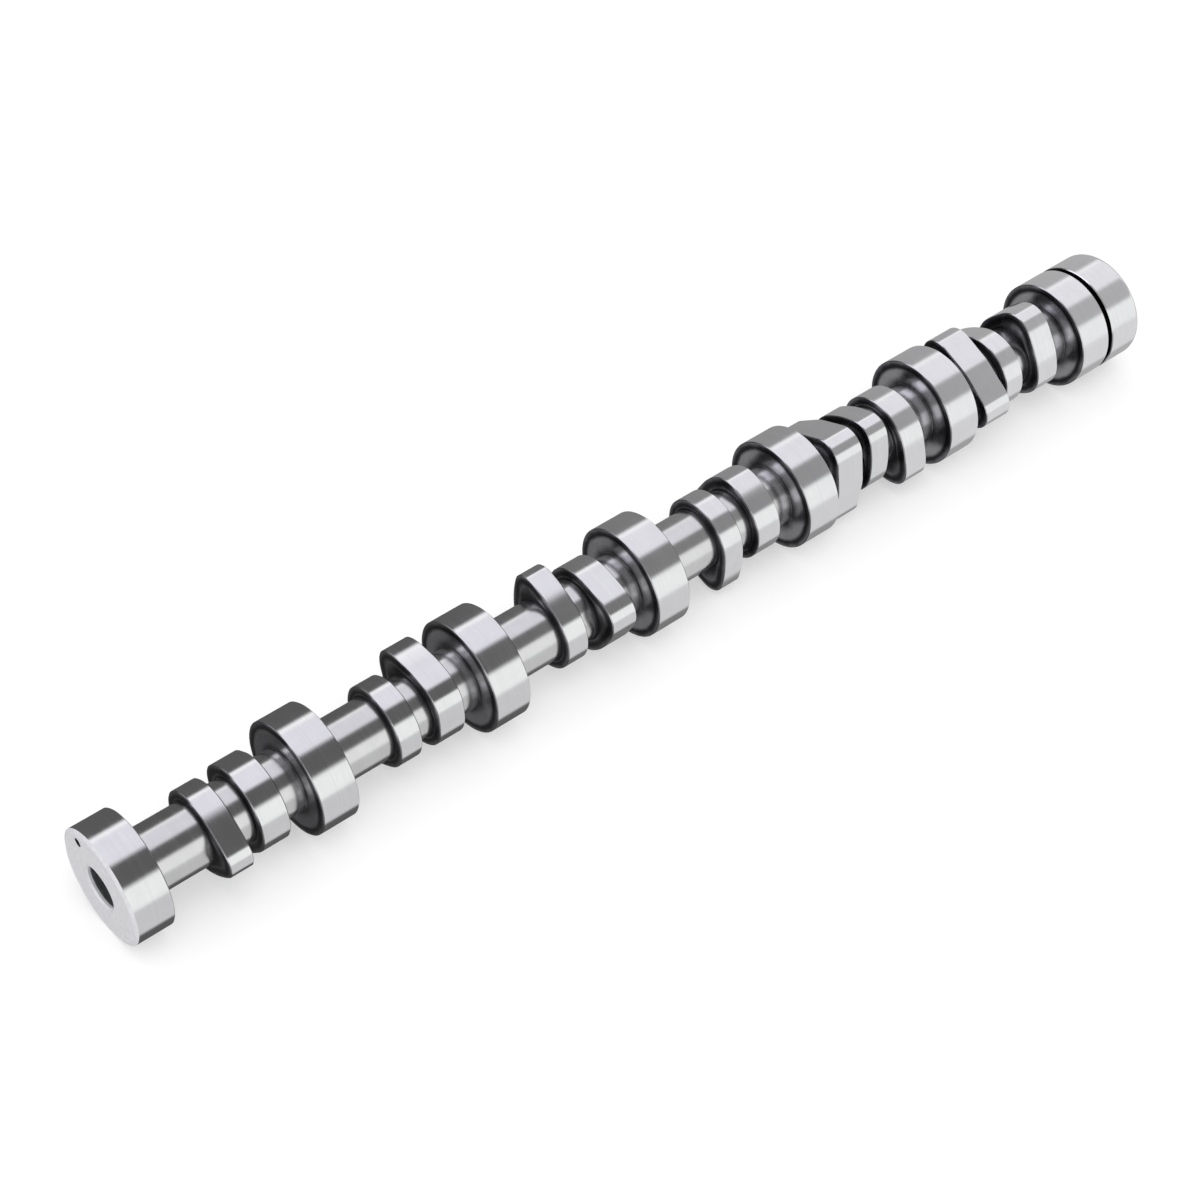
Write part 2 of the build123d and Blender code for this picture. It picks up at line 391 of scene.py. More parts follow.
def rise_tree():
    """One smooth rise of the exhaust lobe, which ends at its foot."""
    names = ("From Nose", "Top", "Foot", "Height", "Sharpness")
    sockets = {name: "Float" for name in names}
    tree, make, entry, leave = new_tree("rise", "GeometryNodeTree", sockets, {"Lift": "Float"})
    from_top = make.math("SUBTRACT", entry["From Nose"], entry["Top"])
    from_top = make.math("WRAP", from_top, math.pi, -math.pi)
    share = make.math("DIVIDE", make.math("ABSOLUTE", from_top), entry["Foot"])
    quarter = make.math("MULTIPLY", make.math("MINIMUM", share, 1.0), math.pi / 2)
    swell = make.math("MAXIMUM", make.math("COSINE", quarter), 0.0)
    lift = make.math("MULTIPLY", entry["Height"], make.math("POWER", swell, entry["Sharpness"]))
    tree.links.new(lift, leave["Lift"])
    return tree


def exhaust_tree(rise):
    """Exhaust lobe: three smooth rises on a base circle."""
    names = ["From Nose", "Base"]
    for rise_name in EXHAUST_RISES:
        names += [f"{rise_name} {part}" for part in ("Top", "Foot", "Height", "Sharpness")]
    sockets = {name: "Float" for name in names}
    tree, make, entry, leave = new_tree("exhaust_outline", "GeometryNodeTree", sockets, {"Radius": "Float"})
    radius = entry["Base"]
    for rise_name in EXHAUST_RISES:
        sizes = {part: entry[f"{rise_name} {part}"] for part in ("Top", "Foot", "Height", "Sharpness")}
        node = make.group(rise, {"From Nose": entry["From Nose"], **sizes})
        radius = make.math("ADD", radius, node.outputs["Lift"])
    tree.links.new(radius, leave["Radius"])
    return tree


def exhaust_sizes():
    """The exhaust tree's inputs."""
    sizes = {"Exhaust Base": EXHAUST_BASE}
    for rise_name, rise in EXHAUST_RISES.items():
        sizes[f"Exhaust {rise_name} Top"] = math.radians(rise["top"])
        sizes[f"Exhaust {rise_name} Foot"] = math.radians(rise["foot"])
        sizes[f"Exhaust {rise_name} Height"] = rise["height"]
        sizes[f"Exhaust {rise_name} Sharpness"] = rise["sharpness"]
    return sizes


def pump_tree(arc_reach):
    """Pump lobe: nose arcs with straight flanks on a base circle."""
    names = ("From Nose", "Base", "Nose Distance", "Nose Radius", "Nose End", "Flank End", "Nose Pitch")
    sockets = {name: "Float" for name in names}
    tree, make, entry, leave = new_tree("pump_outline", "GeometryNodeTree", sockets, {"Radius": "Float"})
    half_pitch = make.math("DIVIDE", entry["Nose Pitch"], 2.0)
    turn = make.math("WRAP", entry["From Nose"], half_pitch, make.math("MULTIPLY", half_pitch, -1.0))
    turn = make.math("ABSOLUTE", turn)
    nose = make.group(arc_reach, {
        "Turn": turn,
        "Centre Distance": entry["Nose Distance"],
        "Arc Radius": entry["Nose Radius"],
    })
    slope = make.math("COSINE", make.math("SUBTRACT", entry["Flank End"], turn))
    flank = make.math("DIVIDE", entry["Base"], slope)
    on_flank = make.math("LESS_THAN", turn, entry["Flank End"])
    on_nose = make.math("LESS_THAN", turn, entry["Nose End"])
    side = make.choose(on_flank, flank, entry["Base"])
    tree.links.new(make.choose(on_nose, nose.outputs["Reach"], side), leave["Radius"])
    return tree


def pump_sizes():
    """The pump tree's inputs, from the lobe's driving sizes."""
    nose_distance = PUMP["base"] + PUMP["lift"] - PUMP["nose"]
    flank_end = math.acos((PUMP["base"] - PUMP["nose"]) / nose_distance)
    nose_end_x = PUMP["nose"] * math.sin(flank_end)
    nose_end_y = nose_distance + PUMP["nose"] * math.cos(flank_end)
    return {
        "Pump Base": PUMP["base"],
        "Pump Nose Distance": nose_distance,
        "Pump Nose Radius": PUMP["nose"],
        "Pump Nose End": math.atan2(nose_end_x, nose_end_y),
        "Pump Flank End": flank_end,
        "Pump Nose Pitch": math.tau / PUMP["noses"],
    }


# ---------------------------------------------------------------- rings along the shaft


def ring(place, radius=0.0, finish=TURNED_NECK, kind=ROUND, inset=0.0, least=0.0, nose=0.0, stain=0.0):
    """One ring of the shaft's skin. Its finish is that of the strip that follows it."""
    return {
        "place": place,
        "ring_radius": radius,
        "finish": finish,
        "kind": kind,
        "inset": inset,
        "least": least,
        "nose": nose,
        "stain": stain,
    }


def corner(face, side, stain):
    """The rings of a rounded corner between a neck and a side face, which carry painted shade for the shade
    that falls in the corner.

    side is -1 where the neck lies before the face, and 1 where it lies behind it."""
    foot = face + side * (ROOT_FILLET + SUPPORT)
    rings = [ring(foot, NECK_RADIUS, stain=FILLET_FOOT_SHARE * stain)]
    for step in range(FILLET_STEPS + 1):
        turn = math.pi / 2 * step / FILLET_STEPS
        place = face + side * ROOT_FILLET * (1 - math.sin(turn))
        radius = NECK_RADIUS + ROOT_FILLET * (1 - math.cos(turn))
        rings.append(ring(place, radius, stain=stain))
    rings.append(ring(face, NECK_RADIUS + ROOT_FILLET + SUPPORT, HARDENED_SIDE, stain=stain))
    if side > 0:
        rings.reverse()
    return rings


def hardened_rings(face, side, stain, **outline):
    """The rings at both edges of the painted dark ring on a side face, which stands in for the dark
    reflection and shade at its rim. The shade given is that of the inner one.
    """
    root = NECK_RADIUS + ROOT_FILLET
    outline = {"finish": HARDENED_SIDE, **outline}
    inner = SHADE_RING_DEPTH + SHADE_RING_EDGE
    rings = [
        ring(face, inset=inner, least=root + 2 * SUPPORT, stain=stain, **outline),
        ring(face, inset=SHADE_RING_DEPTH, least=root + 3 * SUPPORT, stain=1.0, **outline),
    ]
    if side > 0:
        rings.reverse()
    return rings


def wall(start, end, finish, **outline):
    """The rings of a ground wall with a bevel at both rims, darkened towards each rim by painted shade."""
    return [
        ring(start, finish=HARDENED_SIDE, inset=EDGE_BEVEL, stain=RIM_SHADE, **outline),
        ring(start + EDGE_BEVEL, finish=finish, **outline),
        ring(end - EDGE_BEVEL, finish=HARDENED_SIDE, **outline),
        ring(end, finish=HARDENED_SIDE, inset=EDGE_BEVEL, stain=RIM_SHADE, **outline),
    ]


def band(start, width, finish, **outline):
    """A journal or a lobe with the corners at both its side faces."""
    end = start + width
    is_lobe = finish == GROUND_LOBE
    # Painted shade at the roots of every band, and on the side faces of lobes as well.
    root_shade = LOBE_ROOT_SHADE if is_lobe else JOURNAL_ROOT_SHADE
    face_shade = LOBE_FACE_SHADE if is_lobe else 0.0
    return [
        *corner(start, -1, root_shade),
        *hardened_rings(start, -1, face_shade, **outline),
        *wall(start, end, finish, **outline),
        *hardened_rings(end, 1, face_shade, **outline),
        *corner(end, 1, root_shade),
    ]


def bevelled_span(name):
    """Where a ground band starts and ends, with its bevels."""
    start, end = mount_span(name)
    return start - EDGE_BEVEL, end + EDGE_BEVEL


def front_hole():
    """From the floor of the hole out to its mouth: thread, step and pilot, with painted shade on the walls
    inside.
    """
    thread_start, thread_end = mount_span("tapped_core")
    crest = mount_radius("tapped_core")
    pilot = mount_radius("pilot_bore")
    pilot_start, pilot_end = mount_span("pilot_bore")
    rings = [
        ring(thread_end + FLOOR_BEVEL, 0.0, SHADED_BORE_WALL),
        ring(thread_end + FLOOR_BEVEL, crest - FLOOR_BEVEL, SHADED_BORE_WALL),
        ring(thread_end, crest, SHADED_BORE_WALL),
    ]
    for turn in range(int((thread_end - thread_start) / THREAD_PITCH)):
        crest_place = thread_end - turn * THREAD_PITCH
        rings.append(ring(crest_place - THREAD_LEAVES * THREAD_PITCH, crest, SHADED_BORE_WALL))
        rings.append(ring(crest_place - THREAD_DEEPEST * THREAD_PITCH, crest + THREAD_DEPTH, SHADED_BORE_WALL))
        rings.append(ring(crest_place - THREAD_RETURNS * THREAD_PITCH, crest, SHADED_BORE_WALL))
    rings += [
        ring(thread_start, crest, SHADED_BORE_WALL),
        ring(thread_start, pilot - FLOOR_BEVEL, SHADED_BORE_WALL),
        ring(pilot_end, pilot, SHADED_BORE_WALL),
        # Painted light: the pilot's lead in from the mouth takes the light front-face finish.
        ring(pilot_start + PILOT_LIT_LEAD, pilot, FRONT_FACE),
        ring(pilot_start, pilot, FRONT_FACE),
        ring(0.0, pilot + pilot_start, FRONT_FACE),
    ]
    return rings


def front_journal():
    """The first journal, from the front face's rim to its back corner."""
    start, end = mount_span("journal_1")
    return [
        ring(0.0, JOURNAL_RADIUS - FRONT_BEVEL_HEIGHT, FRONT_FACE),
        ring(start, JOURNAL_RADIUS, GROUND_BAND),
        ring(end, JOURNAL_RADIUS, HARDENED_SIDE),
        ring(end + EDGE_BEVEL, JOURNAL_RADIUS - EDGE_BEVEL, HARDENED_SIDE, stain=RIM_SHADE),
        *hardened_rings(end + EDGE_BEVEL, 1, 0.0, radius=JOURNAL_RADIUS),
        *corner(end + EDGE_BEVEL, 1, JOURNAL_ROOT_SHADE),
    ]


def cylinder_lobes(cylinder):
    """One cylinder's lobes, from the journal before them to the next one."""
    journal_end = bevelled_span(f"journal_{cylinder}")[1]
    rings = []
    if cylinder in PUMP_CYLINDERS:
        angle = FIRST_PUMP_ANGLE - PUMP_CYLINDERS.index(cylinder) * FIRING_STEP
        start = journal_end + PUMP_FROM_JOURNAL
        rings += band(start, PUMP_WIDTH, GROUND_LOBE, kind=PUMP_LOBE, nose=angle)
    inlet_angle = FIRST_INLET_ANGLE - FIRING_ORDER.index(cylinder) * FIRING_STEP
    inlet_start = journal_end + INLET_FROM_JOURNAL
    rings += band(inlet_start, INLET_WIDTH, GROUND_LOBE, kind=INLET_LOBE, nose=inlet_angle)
    exhaust_start = inlet_start + INLET_WIDTH + EXHAUST_FROM_INLET
    exhaust_angle = inlet_angle + EXHAUST_LEAD
    rings += band(exhaust_start, EXHAUST_WIDTH, GROUND_LOBE, kind=EXHAUST_LOBE, nose=exhaust_angle)
    return rings


def rear_end():
    """The last journal, the groove, the end band and the rear face."""
    last = JOURNAL_NAMES[-1]
    start, end = bevelled_span(last)
    band_start = bevelled_span("end_band")[0]
    floor = JOURNAL_RADIUS - END_GROOVE_DEPTH
    rings = [
        *corner(start, -1, JOURNAL_ROOT_SHADE),
        *hardened_rings(start, -1, 0.0, radius=JOURNAL_RADIUS),
        *wall(start, end, GROUND_BAND, radius=JOURNAL_RADIUS),
        # The groove's floor and its walls carry full painted shade, darkening the recess where shade falls.
        ring(end, floor, HARDENED_SIDE, stain=1.0),
        ring(band_start, floor, HARDENED_SIDE, stain=1.0),
        ring(band_start, JOURNAL_RADIUS - EDGE_BEVEL, GROUND_BAND, stain=1.0),
        ring(band_start + EDGE_BEVEL, JOURNAL_RADIUS, GROUND_BAND),
        ring(SHAFT_LENGTH - END_ROUND - SUPPORT, JOURNAL_RADIUS, GROUND_BAND),
    ]
    for step in range(ROUND_STEPS + 1):
        turn = math.pi / 2 * step / ROUND_STEPS
        place = SHAFT_LENGTH - END_ROUND * (1 - math.sin(turn))
        rings.append(ring(place, JOURNAL_RADIUS - END_ROUND * (1 - math.cos(turn)), GROUND_BAND))
    centre_depth = LATHE_CENTRE_RADIUS / math.tan(LATHE_CENTRE_HALF_ANGLE)
    rings += [
        ring(SHAFT_LENGTH, JOURNAL_RADIUS - END_ROUND - SUPPORT, FRONT_FACE),
        ring(SHAFT_LENGTH, LATHE_CENTRE_RADIUS, SHADED_BORE_WALL),
        ring(SHAFT_LENGTH - centre_depth, 0.0, SHADED_BORE_WALL),
    ]
    return rings


def with_clean_middles(rings):
    """Adds the rings on each neck where the painted shade beside its ends has faded out."""
    result = []
    for before, after in zip(rings, rings[1:] + rings[-1:]):
        result.append(before)
        gap = after["place"] - before["place"]
        if before["finish"] == TURNED_NECK and gap > ROOT_FILLET:
            faded = min(PAINTED_SHADE_LENGTH, PAINTED_SHADE_MOST_OF_NECK * gap)
            result.append(ring(before["place"] + faded, NECK_RADIUS))
            result.append(ring(after["place"] - faded, NECK_RADIUS))
    return result


def all_rings():
    """Every ring of the shaft, from the floor of its front hole to its rear end."""
    rings = [*front_hole(), *front_journal()]
    for cylinder in range(1, CYLINDERS + 1):
        rings += cylinder_lobes(cylinder)
        if cylinder < CYLINDERS:
            start, end = bevelled_span(f"journal_{cylinder + 1}")
            rings += band(start, end - start, GROUND_BAND, radius=JOURNAL_RADIUS)
    return with_clean_middles(rings + rear_end())


# ---------------------------------------------------------------- the shaft's form


def ring_line(rings):
    """A chain of points, one for each ring, that carries the rings' values."""
    mesh = bpy.data.meshes.new("ring_line")
    points = [(number * MM, 0, 0) for number in range(len(rings))]
    mesh.from_pydata(points, [(number, number + 1) for number in range(len(rings) - 1)], [])
    for name in rings[0]:
        values = np.array([one[name] for one in rings], np.float32)
        mesh.attributes.new(name, "FLOAT", "POINT").data.foreach_set("value", values)
    order = np.arange(len(rings), dtype=np.float32)
    mesh.attributes.new("order", "FLOAT", "POINT").data.foreach_set("value", order)
    return mesh


def shaft_tree(sizes):
    """The whole shaft's skin: a ring of its own outline at every point of a chain."""
    sockets = {"Rings": "Geometry", "Segments": "Int"}
    sockets.update({name: "Float" for name in sizes})
    sockets.update({finish: "Material" for finish in FINISHES})
    tree, make, entry, leave = new_tree("camshaft_form", "GeometryNodeTree", sockets, {"Shaft": "Geometry"})

    curve = make.add("GeometryNodeMeshToCurve", {"Mesh": entry["Rings"]})
    circle_sizes = {"Resolution": entry["Segments"], "Radius": 1.0}
    circle = make.add("GeometryNodeCurvePrimitiveCircle", circle_sizes)
    curves = {"Curve": curve.outputs[0], "Profile Curve": circle.outputs[0]}
    skin = make.add("GeometryNodeCurveToMesh", curves)

    unit = make.add("ShaderNodeSeparateXYZ", {0: make.add("GeometryNodeInputPosition").outputs[0]})
    turn = make.math("ARCTAN2", make.math("MULTIPLY", unit.outputs["Y"], -1.0), unit.outputs["Z"])
    from_nose = make.math("SUBTRACT", turn, make.attribute("nose"))
    from_nose = make.math("WRAP", from_nose, math.pi, -math.pi)

    arc_reach = arc_reach_tree()
    lobes = (
        ("Inlet ", inlet_tree(arc_reach)),
        ("Exhaust ", exhaust_tree(rise_tree())),
        ("Pump ", pump_tree(arc_reach)),
    )
    radii = [make.attribute("ring_radius")]
    for prefix, outline in lobes:
        own = {name.removeprefix(prefix): entry[name] for name in sizes if name.startswith(prefix)}
        radii.append(make.group(outline, {"From Nose": from_nose, **own}).outputs["Radius"])
    by_kind = make.add("GeometryNodeIndexSwitch", data_type="FLOAT")
    while len(by_kind.index_switch_items) < len(radii):
        by_kind.index_switch_items.new()
    tree.links.new(make.attribute("kind"), by_kind.inputs["Index"])
    for number, radius in enumerate(radii):
        tree.links.new(radius, by_kind.inputs[str(number)])
    radius = make.math("SUBTRACT", by_kind.outputs[0], make.attribute("inset"))
    radius = make.math("MAXIMUM", radius, make.attribute("least"))

    across = make.math("MULTIPLY", make.math("MULTIPLY", radius, -1.0), make.math("SINE", turn))
    height = make.math("MULTIPLY", radius, make.math("COSINE", turn))
    place = make.add("ShaderNodeCombineXYZ", {0: make.attribute("place"), 1: across, 2: height})
    moved = {"Geometry": skin.outputs[0], "Position": place.outputs[0]}
    shaped = make.add("GeometryNodeSetPosition", moved)

    strip = make.add(
        "GeometryNodeFieldOnDomain",
        {0: make.attribute("order")},
        domain="FACE",
        data_type="FLOAT",
    )
    strip_finish = make.add(
        "GeometryNodeSampleIndex",
        {
            "Geometry": entry["Rings"],
            "Value": make.attribute("finish"),
            "Index": make.math("FLOOR", strip.outputs[0]),
        },
        data_type="FLOAT",
        domain="POINT",
    )
    named = make.add(
        "GeometryNodeStoreNamedAttribute",
        {"Geometry": shaped.outputs[0], "Name": "strip_finish", "Value": strip_finish.outputs[0]},
        data_type="FLOAT",
        domain="FACE",
    )
    weld = {"Geometry": named.outputs[0], "Distance": WELD_DISTANCE}
    welded = make.add("GeometryNodeMergeByDistance", weld)
    geometry = make.add("GeometryNodeRealizeInstances", {"Geometry": welded.outputs[0]}).outputs[0]
    for number, finish in enumerate(FINISHES):
        chosen = make.math("COMPARE", make.attribute("strip_finish"), float(number), 0.5)
        given = make.add(
            "GeometryNodeSetMaterial",
            {"Geometry": geometry, "Selection": chosen, "Material": entry[finish]},
        )
        geometry = given.outputs[0]
    tree.links.new(geometry, leave["Shaft"])
    return tree


def fill_inputs(modifier, values):
    """Sets a modifier's inputs by the identifiers of their sockets."""
    for item in modifier.node_group.interface.items_tree:
        if item.item_type == "SOCKET" and item.in_out == "INPUT" and item.name in values:
            modifier[item.identifier] = values[item.name]


def grown_mesh(base_mesh, tree, values, name):
    """The plain mesh that a tree grows from a base mesh."""
    source = bpy.data.objects.new(name + "_source", base_mesh)
    bpy.context.scene.collection.objects.link(source)
    modifier = source.modifiers.new("form", "NODES")
    modifier.node_group = tree
    fill_inputs(modifier, values)
    graph = bpy.context.evaluated_depsgraph_get()
    mesh = bpy.data.meshes.new_from_object(source.evaluated_get(graph))
    bpy.data.objects.remove(source)
    mesh.name = name
    return mesh


def dowel_rings():
    """The dowel hole's skin, from just outside its mouth to its floor."""
    radius = mount_radius("dowel_hole")
    wall_end = mount_span("dowel_hole")[1]
    return [
        ring(-radius, 0.0, SHADED_BORE_WALL),
        ring(-radius, radius, SHADED_BORE_WALL),
        ring(wall_end, radius, SHADED_BORE_WALL),
        ring(wall_end + FLOOR_BEVEL, radius - FLOOR_BEVEL, SHADED_BORE_WALL),
        ring(wall_end + FLOOR_BEVEL, 0.0, SHADED_BORE_WALL),
    ]


def camshaft(materials):
    """The shaft as one closed mesh."""
    sizes = {**inlet_sizes(), **exhaust_sizes(), **pump_sizes()}
    tree = shaft_tree(sizes)
    values = {**sizes, **materials}
    shaft_values = {**values, "Segments": SEGMENTS}
    shaft_mesh = grown_mesh(ring_line(all_rings()), tree, shaft_values, "camshaft")
    dowel_values = {**values, "Segments": DOWEL_SEGMENTS}
    dowel_mesh = grown_mesh(ring_line(dowel_rings()), tree, dowel_values, "dowel")
    dowel_mesh.transform(Matrix.Translation((0, *mount_place("dowel_hole")[1:])))

    shaft = bpy.data.objects.new("camshaft_body", shaft_mesh)
    dowel = bpy.data.objects.new("dowel", dowel_mesh)
    for one in (shaft, dowel):
        bpy.context.scene.collection.objects.link(one)
    drilling = shaft.modifiers.new("dowel_hole", "BOOLEAN")
    drilling.operation = "DIFFERENCE"
    drilling.solver = "EXACT"
    drilling.object = dowel
    graph = bpy.context.evaluated_depsgraph_get()
    shaft.data = bpy.data.meshes.new_from_object(shaft.evaluated_get(graph))
    shaft.modifiers.clear()
    bpy.data.objects.remove(dowel)
    shaft.data.set_sharp_from_angle(angle=CRISP_ANGLE)
    return shaft


# ---------------------------------------------------------------- materials


def grinding_group():
    """Fine lines around the shaft on its walls, and fine rings on its faces."""
    names = ("Lines per Metre", "Rings per Metre", "Shade Depth", "Roughness", "Spread")
    inputs = {name: "Float" for name in names}
    outputs = {"Shade": "Float", "Roughness": "Float", "Height": "Float"}
    tree, make, entry, leave = new_tree("grinding_lines", "ShaderNodeTree", inputs, outputs)
    place = make.add("ShaderNodeTexCoord").outputs["Object"]
    axes = make.add("ShaderNodeSeparateXYZ", {0: place})
    squares = [make.math("POWER", make.math("ABSOLUTE", axes.outputs[axis]), 2.0) for axis in "YZ"]
    from_axis = make.math("SQRT", make.math("ADD", *squares))
    along = make.math("MULTIPLY", axes.outputs["X"], entry["Lines per Metre"])
    outward = make.math("MULTIPLY", from_axis, entry["Rings per Metre"])
    around = make.math("MULTIPLY", axes.outputs["Z"], LINE_CHANGE_AROUND)
    stretched = make.add("ShaderNodeCombineXYZ", {0: along, 1: outward, 2: around})
    lines = make.add(
        "ShaderNodeTexNoise",
        {"Vector": stretched.outputs[0], "Scale": 1.0, "Detail": 3.0, "Roughness": 0.6},
    )
    signed = make.math("SUBTRACT", lines.outputs["Fac"], 0.5)
    shade = make.math("ADD", make.math("MULTIPLY", signed, entry["Shade Depth"]), 1.0)
    spread = make.math("MULTIPLY", signed, entry["Spread"])
    tree.links.new(shade, leave["Shade"])
    tree.links.new(make.math("ADD", entry["Roughness"], spread), leave["Roughness"])
    tree.links.new(lines.outputs["Fac"], leave["Height"])
    return tree


def handling_group():
    """Faint cloudy marks of oil and handling, as a shade near 1."""
    inputs = {"Size": "Float", "Depth": "Float"}
    tree, make, entry, leave = new_tree("handling_marks", "ShaderNodeTree", inputs, {"Shade": "Float"})
    place = make.add("ShaderNodeTexCoord").outputs["Object"]
    scale = make.math("DIVIDE", 1.0, entry["Size"])
    clouds = make.add(
        "ShaderNodeTexNoise",
        {"Vector": place, "Scale": scale, "Detail": 4.0, "Roughness": 0.55},
    )
    signed = make.math("SUBTRACT", clouds.outputs["Fac"], 0.5)
    shade = make.math("ADD", make.math("MULTIPLY", signed, entry["Depth"]), 1.0)
    tree.links.new(shade, leave["Shade"])
    return tree


def stain_group():
    """Turns a colour dark and dull where painted shade lies, with a cloudy edge."""
    inputs = {"Color": "Color", "Roughness": "Float", "Stain": "Float", "Stain Color": "Color"}
    outputs = {"Color": "Color", "Roughness": "Float"}
    tree, make, entry, leave = new_tree("hardening_stain", "ShaderNodeTree", inputs, outputs)
    place = make.add("ShaderNodeTexCoord").outputs["Object"]
    clouds = make.add("ShaderNodeTexNoise", {"Vector": place, "Scale": 110.0, "Detail": 3.0})
    signed = make.math("SUBTRACT", clouds.outputs["Fac"], 0.5)
    cloudy = make.math("ADD", entry["Stain"], make.math("MULTIPLY", signed, PAINTED_SHADE_CLOUDS))
    mask = make.add(
        "ShaderNodeMapRange",
        {"Value": cloudy, "From Min": 0.15, "From Max": 0.95},
        interpolation_type="SMOOTHSTEP",
    )
    amount = mask.outputs["Result"]
    colour = make.add(
        "ShaderNodeMix",
        {0: amount, 6: entry["Color"], 7: entry["Stain Color"]},
        data_type="RGBA",
    )
    dulling = make.math("MULTIPLY", amount, PAINTED_SHADE_DULLING)
    roughness = make.math("ADD", entry["Roughness"], dulling)
    tree.links.new(colour.outputs[2], leave["Color"])
    tree.links.new(roughness, leave["Roughness"])
    return tree


def steel(name, look, groups):
    """One finish of the steel."""
    material = bpy.data.materials.new(name)
    material.use_nodes = True
    tree = material.node_tree
    tree.nodes.clear()
    make = NodeMaker(tree)
    lines = make.group(groups["grinding"], {
        "Lines per Metre": look["lines"],
        "Rings per Metre": look["rings"],
        "Shade Depth": look["line_depth"],
        "Roughness": look["roughness"],
        "Spread": look["spread"],
    })
    marks = make.group(groups["handling"], {"Size": look["mark_size"], "Depth": look["marks"]})
    shade = make.math("MULTIPLY", lines.outputs["Shade"], marks.outputs["Shade"])
    colour = make.add("ShaderNodeVectorMath", {0: look["colour"], "Scale": shade}, operation="SCALE")
    finished = {"Color": colour.outputs[0], "Roughness": lines.outputs["Roughness"]}
    # Necks and side faces are darkened by painted shade at roots, rims, lobe faces and the end groove.
    if name in ("turned_neck", "hardened_side"):
        stain = make.add("ShaderNodeAttribute", attribute_name="stain").outputs["Fac"]
        stained = make.group(
            groups["stain"], {**finished, "Stain": stain, "Stain Color": (*PAINTED_SHADE_COLOUR, 1.0)}
        )
        finished = {key: stained.outputs[key] for key in finished}
    bump = make.add(
        "ShaderNodeBump",
        {"Height": lines.outputs["Height"], "Strength": look["bump"], "Distance": BUMP_DISTANCE},
    )
    surface = make.add("ShaderNodeBsdfPrincipled", {
        "Base Color": finished["Color"],
        "Metallic": look["metallic"],
        "Roughness": finished["Roughness"],
        "Normal": bump.outputs["Normal"],
    })
    make.add("ShaderNodeOutputMaterial", {"Surface": surface.outputs["BSDF"]})
    return material


def finish_materials():
    """A material for each finish."""
    groups = {"grinding": grinding_group(), "handling": handling_group(), "stain": stain_group()}
    return {name: steel(name, LOOKS[name], groups) for name in FINISHES}


# ---------------------------------------------------------------- surroundings


def zone_lights(zone):
    """The turns at which this zone's light changes, each with the light that follows it."""
    room = (ROOM_LEVELS[zone],) * 3
    lights = {-180: room}
    for place, start, end, level, tint in PANELS:
        if place == zone:
            lights[start] = tuple(level * part for part in TINTS[tint])
            lights.setdefault(end, room)
    return sorted(lights.items())


def panel_ramp(make, share, zone):
    """The light that reflections see in one zone along the shaft, all round it."""
    (turn, light), *changes = zone_lights(zone)
    stops = [(turn, light)]
    for turn, following in changes:
        stops += [(turn - PANEL_EDGE / 2, light), (turn + PANEL_EDGE / 2, following)]
        light = following
    stops.append((180, light))
    panels = make.add("ShaderNodeValToRGB", {"Fac": share})
    ramp = panels.color_ramp
    while len(ramp.elements) < len(stops):
        ramp.elements.new(1.0)
    for element, (turn, light) in zip(ramp.elements, stops):
        element.position = (turn + 180) / 360
        element.color = (*light, 1.0)
    return panels.outputs["Color"]


def blend_along(make, slant, start, end, share, seen, following):
    """One light that gives way to the next between two slants, up to a share of it."""
    between = make.add(
        "ShaderNodeMapRange",
        {"Value": slant, "From Min": start, "From Max": end, "To Max": share},
    )
    inputs = {0: between.outputs["Result"], 6: seen, 7: following}
    return make.add("ShaderNodeMix", inputs, data_type="RGBA").outputs[2]


def studio_world():
    """White to the camera, plain light on the object, and long panels in reflections."""
    world = bpy.data.worlds.new("studio")
    world.use_nodes = True
    tree = world.node_tree
    tree.nodes.clear()
    make = NodeMaker(tree)
    direction = make.add("ShaderNodeTexCoord").outputs["Generated"]
    axes = make.add("ShaderNodeSeparateXYZ", {0: direction})
    turn = make.math("ARCTAN2", make.math("MULTIPLY", axes.outputs["Y"], -1.0), axes.outputs["Z"])
    share = make.add(
        "ShaderNodeMapRange",
        {"Value": turn, "From Min": -math.pi, "From Max": math.pi},
    )
    seen = panel_ramp(make, share.outputs["Result"], "ahead")
    for zone, (start, end) in (("gap", AHEAD_SLANTS), ("beside", BESIDE_SLANTS)):
        following = panel_ramp(make, share.outputs["Result"], zone)
        seen = blend_along(make, axes.outputs["X"], start, end, 1.0, seen, following)
    veil = (VEIL_LEVEL, VEIL_LEVEL, VEIL_LEVEL, 1.0)
    seen = blend_along(make, axes.outputs["X"], *VEIL_SLANTS, VEIL_SHARE, seen, veil)
    glossy = make.add("ShaderNodeLightPath").outputs["Is Glossy Ray"]
    shown = make.add(
        "ShaderNodeMix",
        {0: glossy, 6: (1.0, 1.0, 1.0, 1.0), 7: seen},
        data_type="RGBA",
    )
    light = make.add("ShaderNodeBackground", {"Color": shown.outputs[2], "Strength": 1.0})
    make.add("ShaderNodeOutputWorld", {"Surface": light.outputs[0]})
    bpy.context.scene.world = world


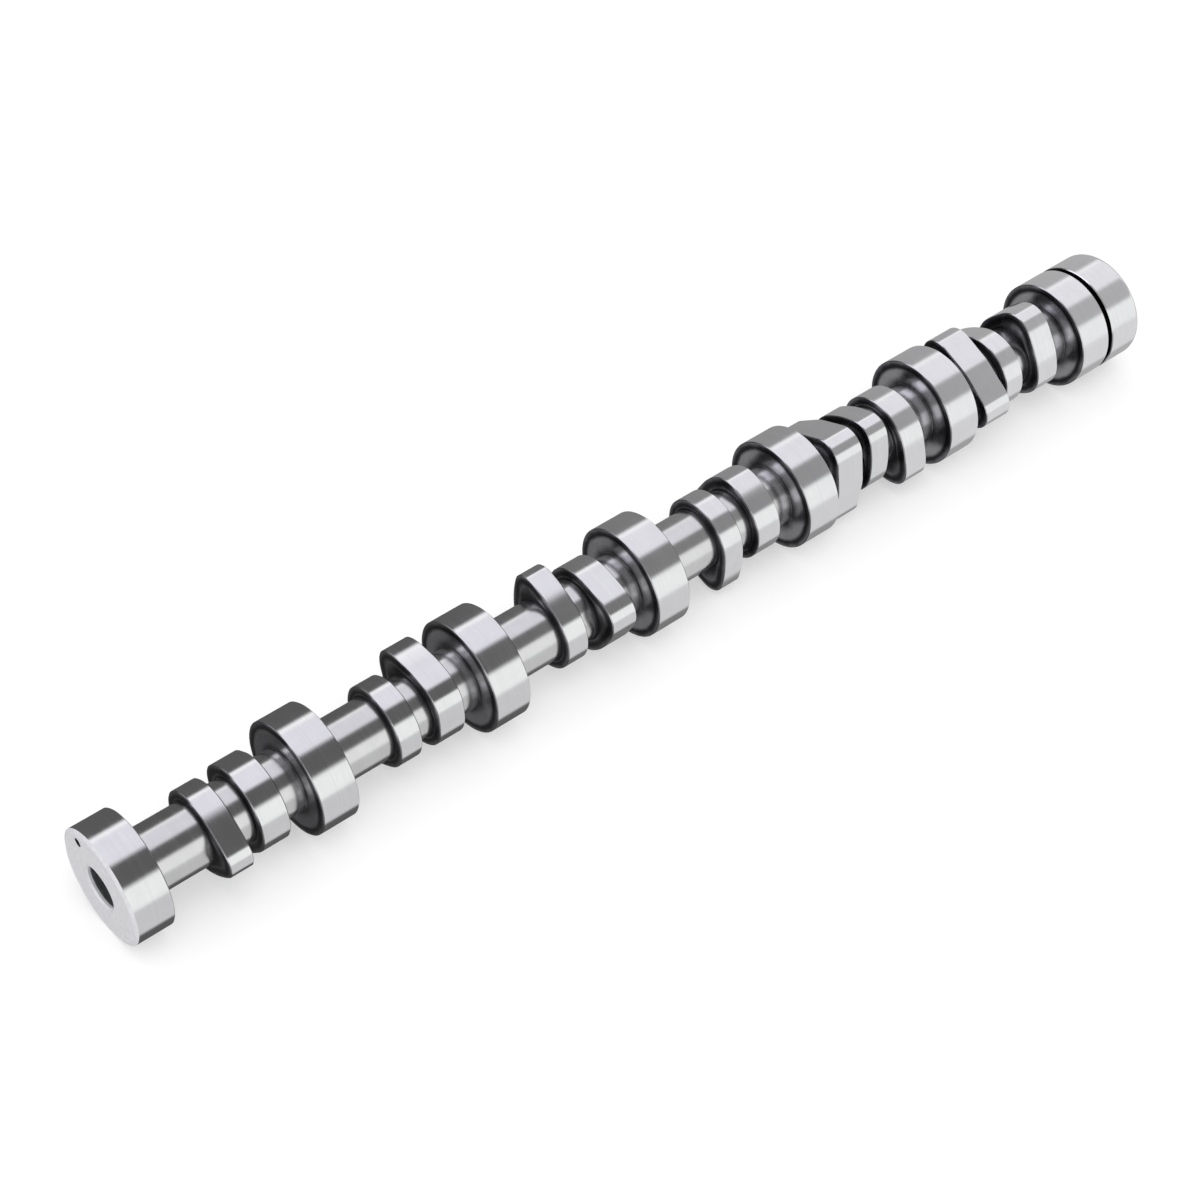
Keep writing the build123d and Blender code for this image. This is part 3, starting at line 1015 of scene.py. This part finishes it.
def floor():
    """A white floor that the shaft lies on."""
    material = bpy.data.materials.new("floor_white")
    material.use_nodes = True
    surface = material.node_tree.nodes["Principled BSDF"]
    surface.inputs["Base Color"].default_value = (FLOOR_SHADE, FLOOR_SHADE, FLOOR_SHADE, 1.0)
    surface.inputs["Emission Color"].default_value = (1.0, 1.0, 1.0, 1.0)
    surface.inputs["Emission Strength"].default_value = FLOOR_GLOW
    surface.inputs["Roughness"].default_value = 1.0
    surface.inputs["Specular IOR Level"].default_value = 0.0
    mesh = bpy.data.meshes.new("floor")
    level = -JOURNAL_RADIUS
    signs = ((-1, -1), (1, -1), (1, 1), (-1, 1))
    corners = [(x * FLOOR_REACH, y * FLOOR_REACH, level) for x, y in signs]
    mesh.from_pydata(corners, [], [(0, 1, 2, 3)])
    mesh.materials.append(material)
    plane = bpy.data.objects.new("floor", mesh)
    bpy.context.scene.collection.objects.link(plane)
    plane.visible_glossy = False


def soft_lamp():
    """A broad lamp above, for the shadow on the floor."""
    lamp = bpy.data.lights.new("soft_lamp", "AREA")
    lamp.shape = "DISK"
    lamp.size = LAMP_SIZE
    lamp.energy = LAMP_POWER
    holder = bpy.data.objects.new("soft_lamp", lamp)
    holder.location = LAMP_PLACE
    aim = Vector(LAMP_TARGET) - holder.location
    holder.rotation_euler = aim.to_track_quat("-Z", "Y").to_euler()
    holder.visible_glossy = False
    bpy.context.scene.collection.objects.link(holder)


def camera():
    """The camera, above the front end and looking down along the shaft."""
    lens = bpy.data.cameras.new("camera")
    lens.lens = CAMERA_LENS
    lens.sensor_width = CAMERA_SENSOR
    holder = bpy.data.objects.new("camera", lens)
    holder.location = CAMERA_PLACE
    holder.rotation_euler = (CAMERA_TILT, 0.0, CAMERA_TURN)
    bpy.context.scene.collection.objects.link(holder)
    bpy.context.scene.camera = holder


# ---------------------------------------------------------------- the scene

bpy.context.scene.view_settings.view_transform = "Standard"
shaft = camshaft(finish_materials())
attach(shaft, "root")
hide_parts("camshaft")
studio_world()
floor()
soft_lamp()
camera()
